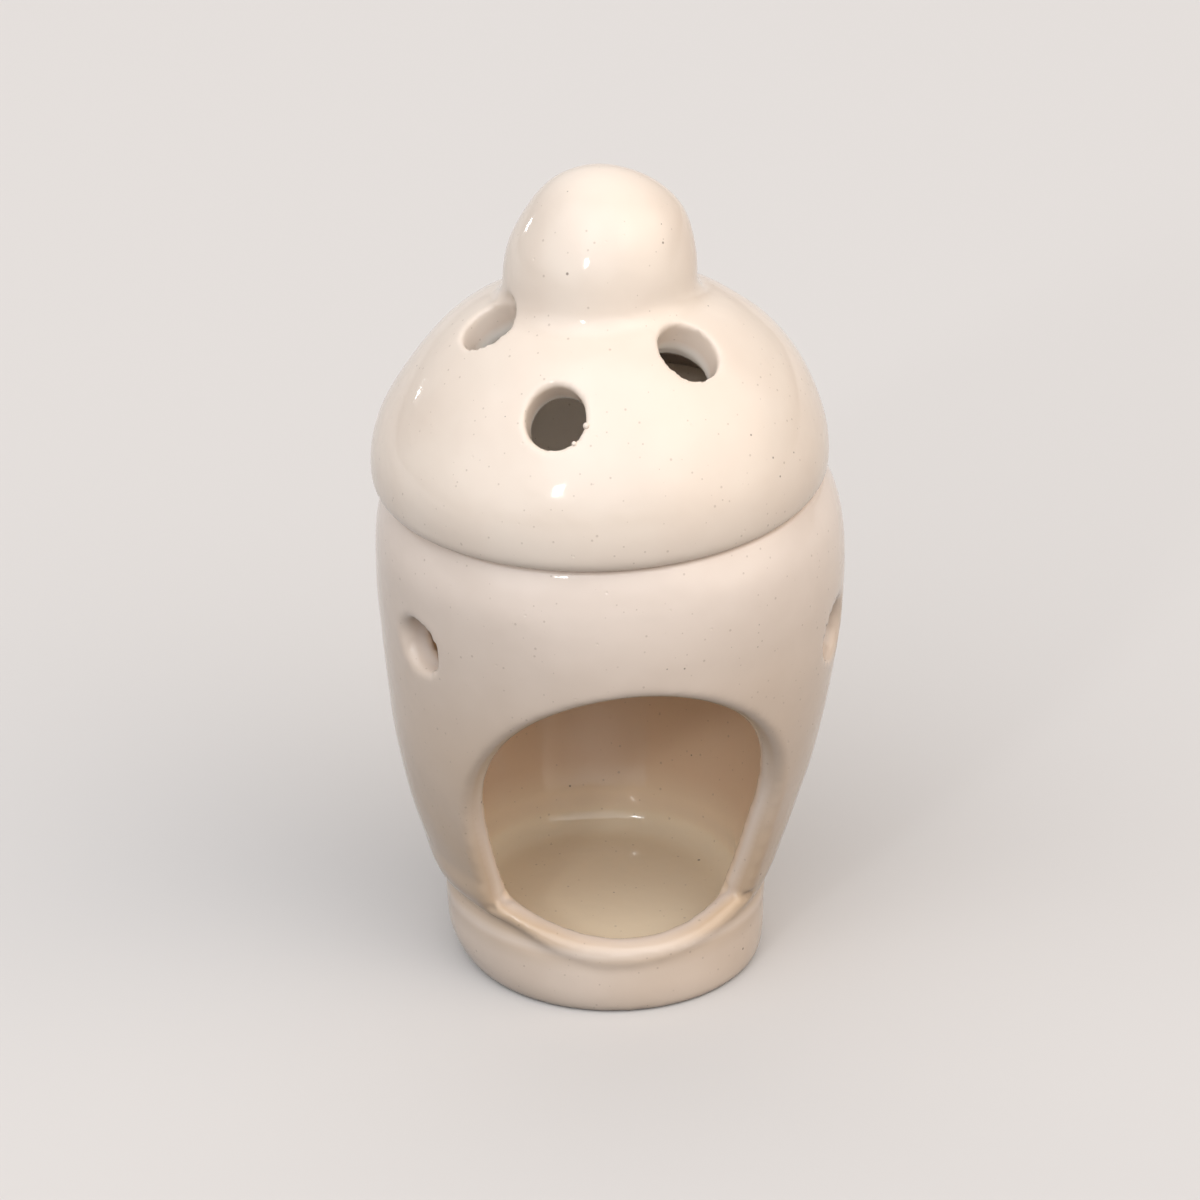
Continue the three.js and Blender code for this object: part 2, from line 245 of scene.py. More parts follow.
# Its width, its depth and how far the clay swells over it, as (degrees from the arch, millimetres)
CREASE_WIDTH = ((-180, 1.8), (-90, 2.0), (-62, 2.5), (-45, 2.3), (-22, 1.7), (180, 1.8))
CREASE_DEPTH = (
    (-180, 0.3),
    (-90, 0.5),
    (-62, 1.3),
    (-45, 1.0),
    (-22, 0.1),
    (20, 0.05),
    (50, 0.35),
    (180, 0.3),
)
CREASE_BULGE = (
    (-180, 0.1),
    (-90, 0.25),
    (-60, 0.7),
    (-40, 0.5),
    (-20, 0.2),
    (30, 0.2),
    (60, 0.25),
    (180, 0.1),
)
CREASE_BULGE_RISE = 5.0

# The crease is in the outside alone: it starts this far behind the waist and is whole a little further out
CREASE_SKIN = 2.5
CREASE_SKIN_FADE = 1.5

# The slits at the two ends of the sill's roll, each from inside to outside as (degrees, radius, height)
SILL_SLITS = (
    ((-46.5, 23.5, 20.2), (-48.5, 30.5, 17.6)),
    ((50.0, 24.0, 17.6), (53.0, 31.0, 16.4)),
)
SLIT_WIDTH = 0.9
SLIT_DEPTH = 0.9

# How large and how finely broken the glaze's pools, its patches of darker, warmer tone and ripples are, and
# how deep the ripples
POOL_SIZE = 16.0
POOL_DETAIL = 3.0
PATCH_SIZE = 28.0
PATCH_DETAIL = 1.0
RIPPLE_SIZE = 8.0
RIPPLE_DETAIL = 2.0
RIPPLE_DEPTH = 0.5
RIPPLE_STRENGTH = 0.35

# How far apart the pinholes lie and how deep they are, and their edge in parts of that spacing
PINHOLE_SPACING = 4.5
PINHOLE_DEPTH = 0.12
PINHOLE_STRENGTH = 0.6
PINHOLE_EDGE = (0, 0.07, 0, 1)

# The glaze's gloss
GLAZE_ROUGHNESS = 0.09
GLAZE_IOR = 1.5

# Where each tone of the glaze shows, as (start, end, share at the start, share at the end): by the height in
# millimetres, by the depth, from 0 on the outside to 1 inside, or by the patches of a noise
POOLED_PATCHES = (0.35, 0.7, 0, 1)
# A darker, warmer tone towards the foot, in patches, with less of it on the foot itself and deeper in the
# wall
LOWER_TONE_PATCHES = (0.3, 0.6, 0.75, 1)
LOWER_TONE_HEIGHTS = (90, 30, 0, 1)
LOWER_TONE_FOOT = (8, 16, 0.45, 1)
LOWER_TONE_DEPTHS = (0.3, 0.6, 1, 0.3)
# Where the inside tone shows: painted shade inside the pot's chamber, painted light inside the lid's hollow
INSIDE_DEPTHS = (0.7, 1.0, 0, 1)
# Where the chamber's floor is painted lighter as painted light, fading out above it
LIT_FLOOR_HEIGHTS = (22, 12, 0, 1)

# Iron specks, each kind as spacing, largest radius, the share of places that have one, boldness and colour
SPECKS = (
    (1.7, 0.3, 0.6, 0.3, "#8a7460"),
    (4.2, 0.34, 0.4, 0.7, "#5b4a3d"),
)
SMALLEST_SPECK = 0.35
SPECK_EDGE = (0.55, 1.0, 1, 0)
SPECK_CHANCE_EDGE = 0.02

# The photograph's view, in radians and metres: turned a little to the arch's left, and looking down
VIEW_TURN = math.radians(-6.5)
VIEW_PITCH = 0.480
VIEW_DISTANCE = 1.1
VIEW_HEIGHT = 0.640418
VIEW_SIDE = -0.000934
VIEW_END = 20

# The camera's lens and the width of its sensor
VIEW_LENS = 211.95
VIEW_SENSOR = 36

# Studio floor: half its side, and its paper's colour to the eye and in the light that it throws back up
FLOOR_HALF_SIDE = 3000.0
PAPER_SEEN = "#d3d1d0"
PAPER_THROWN = "#40382f"

# How strongly the room glows all round, and the broad soft glows in it, each as degrees round from the arch,
# degrees up, degrees from its middle to where it has faded away, strength and colour
ROOM_GLOW = 0.22
ROOM_COLOUR = "#fff4ee"
SOFT_GLOWS = (
    (0, 90, 90, 0.15, "#ffffff"),
    (0, 48, 46, 1.58, "#f6faff"),
    (-62, 38, 44, 1.3, "#ffffff"),
    (62, 30, 44, 1.8, "#fff0df"),
    (180, 34, 58, 0.5, "#ffffff"),
)

# The small lamps, each as name, degrees round from the arch, degrees up, metres away, width in metres and
# watts, and the height that they point at
LAMPS = (
    ("key", -30.4, 27.0, 1.4, 0.11, 1.5),
    ("glint", -137.5, 7, 1.4, 0.05, 0.22),
)
LAMP_AIM_HEIGHT = 80.0


def bend(a, pull_a, pull_b, b, steps=24):
    """Points along a cubic curve."""
    t = np.linspace(0, 1, steps + 1)[:, None]
    a, pull_a, pull_b, b = map(np.array, (a, pull_a, pull_b, b))
    return (1 - t) ** 3 * a + 3 * t * (1 - t) ** 2 * pull_a + 3 * t**2 * (1 - t) * pull_b + t**3 * b


def arc(radius_x, radius_z, base, start, end, middle=0.0, steps=24):
    """Points along part of an ellipse whose middle is at a height and a radius."""
    angle = np.linspace(start, end, steps + 1)
    return np.c_[middle + radius_x * np.cos(angle), base + radius_z * np.sin(angle)]


def chain(*stretches):
    """One outline from stretches and single points, without doubled points."""
    points = np.vstack([np.atleast_2d(np.array(s, float)) for s in stretches])
    apart = np.r_[True, np.hypot(*np.diff(points, axis=0).T) > SAME_POINT]
    return points[apart]


def body_curve(inset):
    """The pot's wall from waist to shoulder, moved inwards by an inset."""
    up = np.array((math.cos(WALL_LEAN), math.sin(WALL_LEAN)))
    waist = np.array((WAIST_RADIUS - up[1] * inset, WAIST_HEIGHT + up[0] * inset))
    shoulder = (SHOULDER_RADIUS - inset, SHOULDER_HEIGHT)
    shoulder_pull = (shoulder[0], shoulder[1] - SHOULDER_SWELL)
    return bend(waist, waist + up * LOWER_SWELL, shoulder_pull, shoulder, steps=48)


def pot_outside():
    """The outside of the pot, from the edge of its foot ring to the lid's seat."""
    return chain(
        bend(
            (RING_OUTER_RADIUS, 0),
            (RING_OUTER_RADIUS + RING_ROUNDING, 0),
            (FOOT_SIDE_RADIUS, FOOT_SIDE_HEIGHT / 2),
            (FOOT_SIDE_RADIUS, FOOT_SIDE_HEIGHT),
        ),
        body_curve(0),
        bend(
            (SHOULDER_RADIUS, SHOULDER_HEIGHT),
            (SHOULDER_RADIUS, SHOULDER_HEIGHT + SHOULDER_SWELL),
            (SEAT_OUTER_RADIUS + SEAT_PULL_OUT, SEAT - SEAT_PULL_DOWN),
            (SEAT_OUTER_RADIUS, SEAT),
        ),
    )


def pot_section():
    """Half of the pot cut through, from the axis out under the foot, over the collar and back inside."""
    body = body_curve(POT_WALL)
    fillet_height = FLOOR_HEIGHT + FLOOR_FILLET
    return chain(
        (0, RECESS_DEPTH),
        (RECESS_RADIUS, RECESS_DEPTH),
        (RING_INNER_RADIUS, 0),
        pot_outside(),
        (COLLAR_OUTER_RADIUS, SEAT),
        (COLLAR_OUTER_RADIUS, COLLAR_TOP - COLLAR_ROUNDING),
        (COLLAR_OUTER_RADIUS - COLLAR_ROUNDING, COLLAR_TOP),
        (COLLAR_INNER_RADIUS + COLLAR_ROUNDING, COLLAR_TOP),
        (COLLAR_INNER_RADIUS, COLLAR_TOP - COLLAR_ROUNDING),
        bend(
            (COLLAR_INNER_RADIUS, THROAT_HEIGHT),
            (COLLAR_INNER_RADIUS, THROAT_HEIGHT - THROAT_SWELL),
            (SHOULDER_RADIUS - POT_WALL, SHOULDER_HEIGHT + THROAT_SWELL),
            (SHOULDER_RADIUS - POT_WALL, SHOULDER_HEIGHT),
        ),
        body[::-1],
        arc(FLOOR_FILLET, FLOOR_FILLET, fillet_height, 0, -math.pi / 2, FLOOR_RADIUS),
        (0, FLOOR_HEIGHT),
    )


def dome_curve():
    """The dome's outside, from the lid's rim up to the foot of the knob."""
    side = (LID_RIM_RADIUS, DOME_BASE)
    top = np.array((DOME_TOP_RADIUS, DOME_TOP))
    down = np.array((math.cos(DOME_TOP_SLOPE), -math.sin(DOME_TOP_SLOPE)))
    side_pull = (side[0], side[1] + DOME_SIDE_PULL)
    return bend(side, side_pull, top + down * DOME_TOP_PULL, top, steps=80)


def lid_outside():
    """The outside of the lid, from its rim up over the dome and the knob."""
    dome = dome_curve()
    up = np.array((-math.cos(DOME_TOP_SLOPE), math.sin(DOME_TOP_SLOPE)))
    return chain(
        dome,
        bend(
            dome[-1],
            dome[-1] + up * KNOB_FILLET_PULL,
            (KNOB_RADIUS, KNOB_BASE - KNOB_FILLET_PULL),
            (KNOB_RADIUS, KNOB_BASE),
        ),
        arc(KNOB_RADIUS, KNOB_TOP - KNOB_BASE, KNOB_BASE, 0, math.pi / 2, steps=40),
    )


def lid_section():
    """Half of the lid cut through, from the top of its knob down the outside and back up inside."""
    rim_flat = (LID_RIM_FLAT_RADIUS, SEAT + RESTING_GAP)
    rim_side = (LID_RIM_RADIUS, DOME_BASE)
    neck_radius = KNOB_RADIUS - KNOB_WALL
    neck_rise = KNOB_TOP - KNOB_BASE - KNOB_WALL
    ceiling_edge = math.acos((neck_radius + HOLLOW_ROUNDING) / HOLLOW_RADIUS)
    ceiling = arc(HOLLOW_RADIUS, HOLLOW_RISE, rim_flat[1], ceiling_edge, 0, steps=48)
    neck_height = ceiling[0][1] + HOLLOW_ROUNDING
    return chain(
        lid_outside()[::-1],
        bend(
            rim_side,
            (rim_side[0], rim_side[1] - LID_RIM_PULL),
            (rim_flat[0] + LID_RIM_PULL, rim_flat[1]),
            rim_flat,
        ),
        ceiling[::-1],
        bend(
            ceiling[0],
            (ceiling[0][0] - HOLLOW_ROUNDING / 2, ceiling[0][1]),
            (neck_radius, neck_height - HOLLOW_ROUNDING / 2),
            (neck_radius, neck_height),
        ),
        arc(neck_radius, neck_rise, KNOB_BASE, 0, math.pi / 2),
    )[::-1]


def bowl_curve(inset, side_top):
    """The dish's bowl from its flat bottom out and up its side, moved inwards by an inset."""
    flat = (DISH_FLAT_RADIUS, DISH_BOTTOM + inset)
    side = (DISH_BOWL_RADIUS - inset, side_top)
    belly_pull = (flat[0] + DISH_BELLY_PULL, flat[1])
    side_pull = (side[0], side[1] - DISH_SIDE_PULL)
    return bend(flat, belly_pull, side_pull, side, steps=32)


def dish_section():
    """Half of the dish cut through, from the axis out underneath, round the flange and back inside."""
    underside = DISH_RIM - DISH_FLANGE_THICKNESS
    flange = DISH_FLANGE_RADIUS
    rounding = DISH_FLANGE_ROUNDING
    inside = bowl_curve(DISH_WALL, DISH_RIM - rounding)
    return chain(
        (0, DISH_BOTTOM),
        bowl_curve(0, underside - rounding),
        (DISH_BOWL_RADIUS, underside),
        (flange - rounding, underside),
        (flange, underside + rounding),
        (flange, DISH_RIM - rounding),
        (flange - rounding, DISH_RIM),
        (inside[-1][0] + rounding, DISH_RIM),
        inside[::-1],
        (0, DISH_BOTTOM + DISH_WALL),
    )


def punch_section(radius, lip, reach):
    """Half of a punch for a round hole, as wide as the hole in the middle and flared to both ends."""
    flare = arc(lip, lip, reach - lip, math.pi, math.pi / 2, radius + lip, steps=8)
    half = chain((radius, 0), flare, (radius + lip, 2 * reach))
    return chain((0, -2 * reach), (half * (1, -1))[::-1], half, (0, 2 * reach))


def add(tree, kind, inputs=None, **settings):
    """Adds a node with its settings, and its inputs as values or links."""
    node = tree.nodes.new(kind)
    for key, value in settings.items():
        setattr(node, key, value)
    for socket, value in (inputs or {}).items():
        if isinstance(value, bpy.types.NodeSocket):
            tree.links.new(value, node.inputs[socket])
        else:
            node.inputs[socket].default_value = value
    return node


def new_mesh(name, points, edges=(), faces=()):
    """A mesh from points in millimetres."""
    mesh = bpy.data.meshes.new(name)
    mesh.from_pydata((np.array(points, float) * MM).tolist(), list(edges), list(faces))
    return mesh


def shown(name, mesh):
    """An object for a mesh, in the scene and at the origin."""
    thing = bpy.data.objects.new(name, mesh)
    bpy.context.scene.collection.objects.link(thing)
    return thing


def thrown_tree():
    """Turns a half section on the wheel, and takes away a cut-out and a punch set square in each place."""
    tree = bpy.data.node_groups.new("thrown and pierced", "GeometryNodeTree")
    for name, kind in (
        ("Geometry", "NodeSocketGeometry"),
        ("Facets", "NodeSocketInt"),
        ("Places", "NodeSocketObject"),
        ("Punch", "NodeSocketObject"),
        ("Cut-out", "NodeSocketObject"),
        ("Glaze", "NodeSocketMaterial"),
    ):
        tree.interface.new_socket(name, in_out="INPUT", socket_type=kind)
    tree.interface.new_socket("Geometry", in_out="OUTPUT", socket_type="NodeSocketGeometry")
    given = add(tree, "NodeGroupInput").outputs
    section = add(tree, "GeometryNodeMeshToCurve", {"Mesh": given["Geometry"]}).outputs[0]
    # The wheel is a circle too small to see, so that each point of the section goes round at its own radius
    circle = {"Resolution": given["Facets"], "Radius": WHEEL_RADIUS}
    wheel = add(tree, "GeometryNodeCurvePrimitiveCircle", circle).outputs[0]
    swept = add(tree, "GeometryNodeCurveToMesh", {"Curve": wheel, "Profile Curve": section}).outputs[0]
    weld = {"Geometry": swept, "Distance": WELD_DISTANCE}
    welded = add(tree, "GeometryNodeMergeByDistance", weld).outputs[0]
    solid = add(tree, "GeometryNodeFlipFaces", {"Mesh": welded}).outputs[0]

    places = add(tree, "GeometryNodeObjectInfo", {"Object": given["Places"]}).outputs["Geometry"]
    punch = add(tree, "GeometryNodeObjectInfo", {"Object": given["Punch"]}).outputs["Geometry"]
    cut_out = add(tree, "GeometryNodeObjectInfo", {"Object": given["Cut-out"]}).outputs["Geometry"]
    facing = add(tree, "GeometryNodeInputNamedAttribute", {"Name": "facing"}, data_type="FLOAT_VECTOR")
    square = add(tree, "FunctionNodeAlignRotationToVector", {"Vector": facing.outputs[0]}, axis="Z")
    points = add(tree, "GeometryNodeMeshToPoints", {"Mesh": places}).outputs[0]
    set_in_place = {"Points": points, "Instance": punch, "Rotation": square.outputs[0]}
    punches = add(tree, "GeometryNodeInstanceOnPoints", set_in_place).outputs[0]
    tools = add(tree, "GeometryNodeJoinGeometry")
    tree.links.new(punches, tools.inputs[0])
    tree.links.new(cut_out, tools.inputs[0])
    real_tools = add(tree, "GeometryNodeRealizeInstances", {"Geometry": tools.outputs[0]}).outputs[0]

    cut = {"Mesh 1": solid, "Mesh 2": real_tools}
    pierced = add(tree, "GeometryNodeMeshBoolean", cut, operation="DIFFERENCE", solver="MANIFOLD").outputs[0]
    real = add(tree, "GeometryNodeRealizeInstances", {"Geometry": pierced}).outputs[0]
    dressed = add(tree, "GeometryNodeSetMaterial", {"Geometry": real, "Material": given["Glaze"]}).outputs[0]
    result = add(tree, "NodeGroupOutput")
    tree.links.new(dressed, result.inputs[0])
    return tree


def set_input(modifier, name, value):
    """Sets an input of a modifier's tree by the identifier of its socket."""
    modifier[modifier.node_group.interface.items_tree[name].identifier] = value


def baked(thing):
    """The plain mesh of an object with all its modifiers, after which the object is thrown away."""
    depsgraph = bpy.context.evaluated_depsgraph_get()
    mesh = bpy.data.meshes.new_from_object(thing.evaluated_get(depsgraph))
    bpy.data.objects.remove(thing)
    return mesh


def thrown(name, section, facets, glaze=None, places=None, punch=None, cut_out=None):
    """An object that turns a half section, with its holes and its cut-out."""
    profile = np.c_[section[:, 0], -section[:, 1], np.zeros(len(section))]
    edges = [(i, i + 1) for i in range(len(section) - 1)]
    thing = shown(name, new_mesh(name, profile, edges))
    modifier = thing.modifiers.new("thrown", "NODES")
    modifier.node_group = WHEEL
    set_input(modifier, "Facets", facets)
    set_input(modifier, "Places", places)
    set_input(modifier, "Punch", punch)
    set_input(modifier, "Cut-out", cut_out)
    set_input(modifier, "Glaze", glaze)
    return thing


def hole_places(name, spots):
    """A mesh with a point for each hole, and the way that the hole faces kept on it."""
    mesh = new_mesh(name, [place for place, _ in spots])
    facing = mesh.attributes.new("facing", "FLOAT_VECTOR", "POINT")
    facing.data.foreach_set("vector", np.array([way for _, way in spots], np.float32).ravel())
    return shown(name, mesh)


def round_axis(angle, radius, height):
    """A point by its angle from the arch in radians, its radius and its height."""
    return np.array((radius * math.sin(angle), -radius * math.cos(angle), height))


def smoke_hole_spots():
    """Where each smoke hole goes through the dome, and square to the dome there."""
    spots = []
    dome = dome_curve()
    for degrees, height in SMOKE_HOLES:
        angle = math.radians(degrees)
        radius, lower = np.interp((height, height - 1), dome[:, 1], dome[:, 0])
        facing = round_axis(angle, 1, lower - radius)
        facing /= np.linalg.norm(facing)
        spots.append((round_axis(angle, radius, height) - facing * SMOKE_HOLE_DEPTH / 2, facing))
    return spots


def vent_spots():
    """Where each draught hole goes through the pot's wall, and square to the wall there."""
    outside = body_curve(0)
    slopes = np.gradient(outside, axis=0)
    spots = []
    for degrees, height, skew in POT_VENTS:
        radius = np.interp(height, outside[:, 1], outside[:, 0])
        lean = np.interp(height, outside[:, 1], -slopes[:, 0] / slopes[:, 1])
        angle = math.radians(degrees)
        facing = round_axis(angle + math.radians(skew), 1, lean)
        facing /= np.linalg.norm(facing)
        spots.append((round_axis(angle, radius, height) - facing * POT_WALL / 2, facing))
    return spots


def upright(along, start, end, steps=14):
    """Points up or down one side of the arch."""
    return np.c_[np.full(steps + 1, along), np.linspace(start, end, steps + 1)]


def arch_outline():
    """The arch on the unrolled wall: a sagging sill, upright sides and a flattened round head."""
    left, right, corner = -ARCH_LEFT, ARCH_RIGHT, ARCH_CORNER
    crown = (0, ARCH_TOP)
    spring_pull = ARCH_SPRING + ARCH_HEAD_PULL
    sill = bend(
        (left + corner, SILL_LEFT),
        (-SILL_SAG_REACH, SILL_SAG_LEFT),
        (SILL_SAG_REACH, SILL_SAG_RIGHT),
        (right - corner, SILL_RIGHT),
        steps=60,
    )
    return chain(
        sill,
        arc(corner, corner, SILL_RIGHT + corner, -math.pi / 2, 0, right - corner, steps=6),
        upright(right, SILL_RIGHT + corner, ARCH_SPRING),
        bend((right, ARCH_SPRING), (right, spring_pull), (ARCH_HEAD_PULL, ARCH_TOP), crown, steps=40),
        bend(crown, (-ARCH_HEAD_PULL, ARCH_TOP), (left, spring_pull), (left, ARCH_SPRING), steps=40),
        upright(left, ARCH_SPRING, SILL_LEFT + corner),
        arc(corner, corner, SILL_LEFT + corner, math.pi, 1.5 * math.pi, left + corner, steps=6),
    )[:-1]


def arch_cutter():
    """The cutter for the arch: it follows the wall round, is narrowest in the middle of the wall and flares
    to both faces, so that it leaves rolled edges. Under the sill it flares further down outside."""
    outline = arch_outline()
    along = np.roll(outline, -1, axis=0) - np.roll(outline, 1, axis=0)
    out = np.c_[along[:, 1], -along[:, 0]] / np.hypot(*along.T)[:, None]
    rolled = out * np.c_[np.ones(len(out)), np.where(out[:, 1] < 0, SILL_ROLL, 1)]
    wall = pot_outside()
    turn = np.linspace(0, math.pi / 2, CUT_STEPS + 1)
    depths = CUT_FLAT / 2 + CUT_ROUNDING * np.sin(turn)
    offsets = CUT_ROUNDING * (1 - np.cos(turn))
    flares = list(zip(-depths, offsets))[::-1] + list(zip(depths, offsets))
    rings = []
    for depth, offset in flares:
        ring = outline + (rolled if depth > 0 else out) * offset
        radius = np.interp(ring[:, 1], wall[:, 1], wall[:, 0]) - POT_WALL / 2 + depth
        rings.append((ring, radius))
    # The cutter starts near the axis and ends well outside the wall
    innermost, outermost = rings[0][0], rings[-1][0]
    rings.insert(0, (innermost, np.full(len(innermost), FLOOR_RADIUS / 4)))
    rings.append((outermost, np.full(len(outermost), 2 * SHOULDER_RADIUS)))
    places = []
    for ring, radius in rings:
        around = ring[:, 0] / UNROLL_RADIUS
        places.append(np.c_[radius * np.sin(around), -radius * np.cos(around), ring[:, 1]])
    count = len(outline)
    faces = []
    for level in range(len(rings) - 1):
        for i in range(count):
            j = (i + 1) % count
            low, high = level * count, (level + 1) * count
            faces.append((low + i, low + j, high + j, high + i))
    last = count * (len(rings) - 1)
    faces.append(tuple(range(count))[::-1])
    faces.append(tuple(range(last, last + count)))
    return shown("arch cutter", new_mesh("arch cutter", np.vstack(places), faces=faces))


def add_beads(mesh):
    """Leaves beads of glaze on the edge of one smoke hole."""
    middle, facing = smoke_hole_spots()[BEADED_HOLE]
    aside = np.cross((0, 0, 1), facing)
    aside /= np.linalg.norm(aside)
    upwards = np.cross(facing, aside)
    work = bmesh.new()
    work.from_mesh(mesh)
    for degrees, size in BEADS:
        turn = math.radians(degrees)
        edge = aside * math.cos(turn) + upwards * math.sin(turn)
        spot = middle + facing * (SMOKE_HOLE_DEPTH / 2 - size) + edge * (SMOKE_HOLE_RADIUS + size / 2)
        place = Matrix.Translation(Vector(spot) * MM)
        bmesh.ops.create_icosphere(work, subdivisions=3, radius=size * MM, matrix=place)
    for face in work.faces:
        face.smooth = True
    work.to_mesh(mesh)
    work.free()


def softened(thing, grain, smoothing):
    """Evens out an object's mesh and rounds its edges as glaze does."""
    remesh = thing.modifiers.new("even", "REMESH")
    remesh.mode = "VOXEL"
    remesh.voxel_size = grain * MM
    remesh.use_smooth_shade = True
    smooth = thing.modifiers.new("rounded", "SMOOTH")
    smooth.factor = SMOOTHING_PART
    smooth.iterations = smoothing
    return baked(thing)


def eased(at, marks):
    """A value that eases from mark to mark, each given as (position, value)."""
    where, values = np.array(marks, float).T
    at = np.clip(at, where[0], where[-1])
    upper = np.clip(np.searchsorted(where, at), 1, len(where) - 1)
    part = (at - where[upper - 1]) / (where[upper] - where[upper - 1])
    part = part * part * (3 - 2 * part)
    return values[upper - 1] * (1 - part) + values[upper] * part


def through(at, marks):
    """A value on a smooth curve through the marks, each given as (position, value)."""
    where, values = np.array(marks, float).T
    slopes = np.gradient(values, where)
    at = np.clip(at, where[0], where[-1])
    upper = np.clip(np.searchsorted(where, at), 1, len(where) - 1)
    lower = upper - 1
    span = where[upper] - where[lower]
    t = (at - where[lower]) / span
    ease = t * t * (3 - 2 * t)
    bow = slopes[lower] * t * (1 - t) ** 2 - slopes[upper] * t * t * (1 - t)
    return values[lower] * (1 - ease) + values[upper] * ease + bow * span


def mesh_points(mesh):
    """All points of a mesh in millimetres."""
    flat = np.empty(len(mesh.vertices) * 3)
    mesh.vertices.foreach_get("co", flat)
    return flat.reshape(-1, 3) / MM


def put_points(mesh, points):
    """Moves all points of a mesh to new places in millimetres."""
    mesh.vertices.foreach_set("co", (points * MM).ravel())
    mesh.update()


def remember_depth(mesh, outside, wall, middle=0.0):
    """Keeps on the mesh how deep each point lies behind the outside: 0 on it, 1 right through the wall."""
    points = mesh_points(mesh)
    radius = np.hypot(points[:, 0] - middle, points[:, 1])
    depth = np.full(len(points), wall)
    for outer_radius, height in outside:
        depth = np.minimum(depth, np.hypot(radius - outer_radius, points[:, 2] - height))
    behind = mesh.attributes.new("inside", "FLOAT", "POINT")
    behind.data.foreach_set("value", (depth / wall).astype(np.float32))


def lumps(angle, height):
    """How far the fingers pushed the clay out, by the angle round the piece and the height."""
    chance = np.random.default_rng(LUMP_SEED)
    push = np.zeros(len(angle))
    for count, wave, depth in LUMPS:
        turn, climb = chance.uniform(0, 2 * math.pi, 2)
        push += depth * np.cos(count * angle + turn) * np.cos(2 * math.pi * height / wave + climb)
        push += depth / 2 * np.cos(count * angle + climb + height / wave)
    return push


def by_hand(mesh, lean, nod, draw):
    """Takes a turned piece out of true: lumps, levels drawn in, a leaning axis, a sloping rim and knob."""
    points = mesh_points(mesh)
    angle = np.arctan2(points[:, 0], -points[:, 1])
    height = points[:, 2]
    off_axis = np.clip(np.hypot(points[:, 0], points[:, 1]) / LUMP_FADE_RADIUS, 0, 1)
    off_seat = np.clip(np.abs(height - SEAT) / LUMP_FADE_RISE - 0.5, 0, 1)
    off_table = np.clip(height / LUMP_FADE_RISE, 0, 1)
    push = (lumps(angle, height) * (off_seat * off_table) + through(height, draw)) * off_axis
    points[:, 0] += np.sin(angle) * push + through(height, lean)
    points[:, 1] -= np.cos(angle) * push + through(height, nod)
    on_rim = eased(height, ((RIM_SLOPE_START, 0), (RIM_SLOPE_FULL, 1)))
    points[:, 2] += RIM_SLOPE * points[:, 0] * on_rim
    on_knob = eased(height, ((KNOB_SLOPE_START, 0), (KNOB_SLOPE_FULL, 1)))
    points[:, 2] -= KNOB_SLOPE * points[:, 1] * on_knob
    put_points(mesh, points)


def press_foot(mesh):
    """Presses the crease above the foot and swells the clay over it, as where the sill's roll is luted on."""
    points = mesh_points(mesh)
    angle = np.degrees(np.arctan2(points[:, 0], -points[:, 1]))
    radius = np.hypot(points[:, 0], points[:, 1])
    aside = angle - CREASE_MIDDLE
    spread = np.where(aside < 0, CREASE_SPREAD_LEFT, CREASE_SPREAD_RIGHT)
    dip = (CREASE_HEIGHT - CREASE_FRONT_HEIGHT) * np.exp(-((aside / spread) ** 2))
    above = points[:, 2] - CREASE_HEIGHT + dip
    skin = np.clip((radius - WAIST_RADIUS + CREASE_SKIN) / CREASE_SKIN_FADE, 0, 1)
    width = eased(angle, CREASE_WIDTH)
    crease = -eased(angle, CREASE_DEPTH) * np.exp(-((above / width) ** 2))
    swelling = eased(above / width, ((0, 0), (1, 1)))
    ending = eased(above, ((CREASE_BULGE_RISE, 1), (2 * CREASE_BULGE_RISE, 0)))
    bulge = eased(angle, CREASE_BULGE) * (swelling * ending)
    push = (crease + bulge) * skin
    points[:, :2] *= (1 + push / np.maximum(radius, 1))[:, None]
    put_points(mesh, points)


def cut_slits(mesh):
    """Draws a needle along each end of the sill's roll."""
    points = mesh_points(mesh)
    normals = np.empty(len(mesh.vertices) * 3)
    mesh.vertices.foreach_get("normal", normals)
    normals = normals.reshape(-1, 3)
    for start, end in SILL_SLITS:
        a = round_axis(math.radians(start[0]), *start[1:])
        b = round_axis(math.radians(end[0]), *end[1:])
        part = np.clip((points - a) @ (b - a) / ((b - a) @ (b - a)), 0, 1)
        apart = np.linalg.norm(points - a - part[:, None] * (b - a), axis=1)
        points -= normals * (SLIT_DEPTH * np.exp(-((apart / SLIT_WIDTH) ** 2)))[:, None]
    put_points(mesh, points)


def linear(hex_colour):
    """A colour for a shader from its sRGB hex value."""
    parts = [int(hex_colour[i : i + 2], 16) / 255 for i in (1, 3, 5)]
    return tuple(p / 12.92 if p <= 0.04045 else ((p + 0.055) / 1.055) ** 2.4 for p in parts) + (1.0,)


def faded(tree, fades):
    """The product of fades, each as a value and where it starts and ends, and how much there is there."""
    share = 1.0
    for value, (start, end, at_start, at_end) in fades:
        limits = {"From Min": start, "From Max": end, "To Min": at_start, "To Max": at_end}
        fade = add(tree, "ShaderNodeMapRange", {"Value": value, **limits})
        share = add(tree, "ShaderNodeMath", {0: share, 1: fade.outputs[0]}, operation="MULTIPLY").outputs[0]
    return share


def iron_specks(tree, place, spacing, size, share, boldness, colour):
    """One kind of iron specks: one chance for each cell, of mixed sizes and with soft edges."""
    cells = add(tree, "ShaderNodeTexVoronoi", {"Vector": place, "Scale": 1 / (spacing * MM)})
    chance = add(tree, "ShaderNodeSeparateColor", {"Color": cells.outputs["Color"]}).outputs
    largest = size / spacing
    radius = faded(tree, [(chance["Green"], (0, 1, SMALLEST_SPECK * largest, largest))])
    near = add(tree, "ShaderNodeMath", {0: cells.outputs["Distance"], 1: radius}, operation="DIVIDE")
    there = (share, share + SPECK_CHANCE_EDGE, boldness, 0)
    return colour, [(near.outputs[0], SPECK_EDGE), (chance["Red"], there)]


